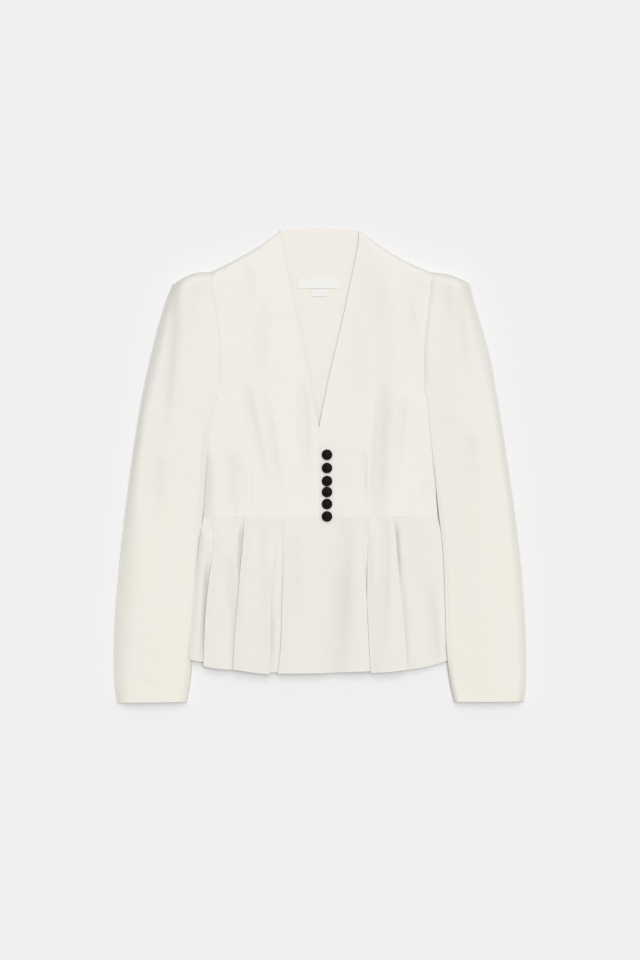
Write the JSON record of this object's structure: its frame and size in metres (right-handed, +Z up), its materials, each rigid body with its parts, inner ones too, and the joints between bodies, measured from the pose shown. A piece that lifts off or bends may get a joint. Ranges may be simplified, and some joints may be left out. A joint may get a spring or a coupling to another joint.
{
  "type": "fitted blazer laid flat",
  "caption": "Fitted V-neck jacket of pale slubbed cloth, laid flat on its back: raised collar, set-in sleeves, waist seam, pleated peplum and black buttons down the front.",
  "frame": {"origin": "on the floor below the middle of the laid-out jacket's bounding box", "axes": "+X to the viewer's right across the fronts, +Y from the hem to the collar, +Z up from the floor through the jacket"},
  "size_m": [0.5994, 0.689, 0.0259],
  "materials": {
    "cloth": "ivory slubbed plain weave, matte",
    "button": "black, soft sheen",
    "label": "white woven tape, left bare"
  },
  "bodies": {
    "root": {"front_left": "cloth", "front_right": "cloth", "peplum_left": "cloth", "peplum_right": "cloth", "sleeve_left_upper": "cloth", "sleeve_left_under": "cloth", "sleeve_right_upper": "cloth", "sleeve_right_under": "cloth", "back_bodice": "cloth", "back_peplum": "cloth", "collar_stand": "cloth", "neck_label": "label", "size_tab": "label", "button_1": "button", "button_2": "button", "button_3": "button", "button_4": "button", "button_5": "button", "button_6": "button"}
  },
  "joints": []
}
